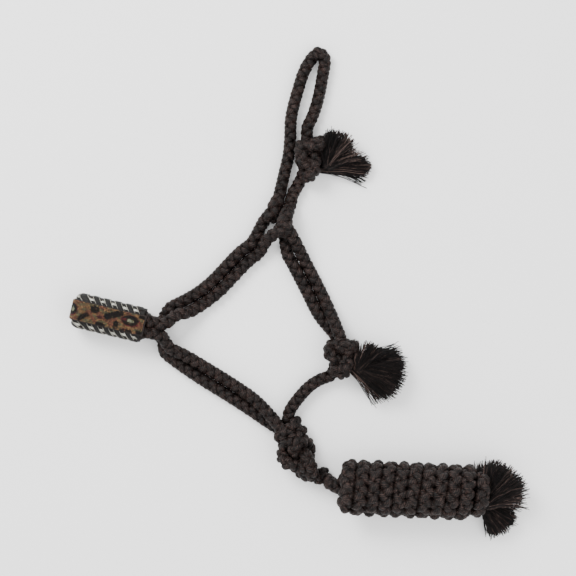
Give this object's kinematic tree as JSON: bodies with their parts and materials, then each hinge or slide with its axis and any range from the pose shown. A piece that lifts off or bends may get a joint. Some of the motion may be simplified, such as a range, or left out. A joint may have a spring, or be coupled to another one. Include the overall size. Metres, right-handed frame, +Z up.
{
  "type": "rope halter",
  "caption": "Braided rope halter with a beaded noseband, knotted crown, frayed tassels and a wrapped lead rope, laid flat on its far side.",
  "frame": {"origin": "middle of the halter's outline, without the lead rope, at the height of the surface that it lies on", "axes": "+Z up out of the surface; +Y towards the crown, along the halter's longest side; +X from the noseband towards the throat"},
  "size_m": [0.6733, 0.724, 0.08],
  "materials": {
    "halter_rope": "dark brown braided flat nylon lace, ribbed",
    "lead_rope": "dark brown braided flat nylon lace, ribbed",
    "frayed_rope": "frayed nylon fibre",
    "dark_lace": "charcoal flat lace, satin",
    "silver_lace": "silver metallised flat lace",
    "leather": "dark leather backing, smooth",
    "seed_beads": "glossy seed beads in an animal-print pattern"
  },
  "bodies": {
    "halter": {"nose_rope_forehead": "halter_rope", "nose_rope_lip": "halter_rope", "near_cheek_rope": "halter_rope", "far_cheek_rope": "halter_rope", "near_chin_rope": "halter_rope", "far_chin_rope": "halter_rope", "near_splice": "halter_rope", "far_splice": "halter_rope", "near_throat_rope": "halter_rope", "far_throat_rope": "halter_rope", "throat_knot": "halter_rope", "fiador_rope": "halter_rope", "chin_knot": "halter_rope", "chin_knot_collar": "halter_rope", "near_crown_rope": "halter_rope", "forehead_lacing": "dark_lace", "lip_lacing": "dark_lace", "noseband_leather": "leather", "bead_panel": "seed_beads"},
    "crown": {"crown_rope": "halter_rope", "tie_loop": "halter_rope", "tie_knot": "halter_rope"},
    "crown_tassel": {"crown_tassel_upper": "frayed_rope", "crown_tassel_lower": "frayed_rope"},
    "throat_tassel": {"throat_tassel": "frayed_rope"},
    "lead_hitch": {"lead_hitch": "lead_rope"},
    "lead": {"lead_neck": "lead_rope", "lead_hank": "lead_rope", "lead_end": "lead_rope"},
    "lead_tassel_upper": {"lead_tassel_upper": "frayed_rope"},
    "lead_tassel_lower": {"lead_tassel_lower": "frayed_rope"}
  },
  "joints": [
    {"name": "crown_fold", "type": "hinge", "parent": "halter", "child": "crown", "pos_m": [0.06158, 0.09908, 0.0178], "axis": [0.9781, -0.2079, 0], "range_deg": [0, 120]},
    {"name": "crown_tassel_swing", "type": "hinge", "parent": "crown", "child": "crown_tassel", "pos_m": [0.14318, 0.15098, 0], "axis": [0, 0, 1], "range_deg": [-25, 25]},
    {"name": "throat_tassel_swing", "type": "hinge", "parent": "halter", "child": "throat_tassel", "pos_m": [0.19058, -0.1467, 0], "axis": [0, 0, 1], "range_deg": [-25, 25]},
    {"name": "lead_swing", "type": "hinge", "parent": "halter", "child": "lead_hitch", "pos_m": [0.1256, -0.31685, 0.00925], "axis": [0, 0, 1], "range_deg": [-60, 20]},
    {"name": "lead_lift", "type": "hinge", "parent": "lead_hitch", "child": "lead", "pos_m": [0.1256, -0.31685, 0.00925], "axis": [-0.1411, -0.99, 0], "range_deg": [0, 60]},
    {"name": "lead_tassel_upper_swing", "type": "hinge", "parent": "lead", "child": "lead_tassel_upper", "pos_m": [0.38468, -0.32679, 0], "axis": [0, 0, 1], "range_deg": [-20, 20]},
    {"name": "lead_tassel_lower_swing", "type": "hinge", "parent": "lead", "child": "lead_tassel_lower", "pos_m": [0.38268, -0.36079, 0], "axis": [0, 0, 1], "range_deg": [-20, 20]}
  ]
}
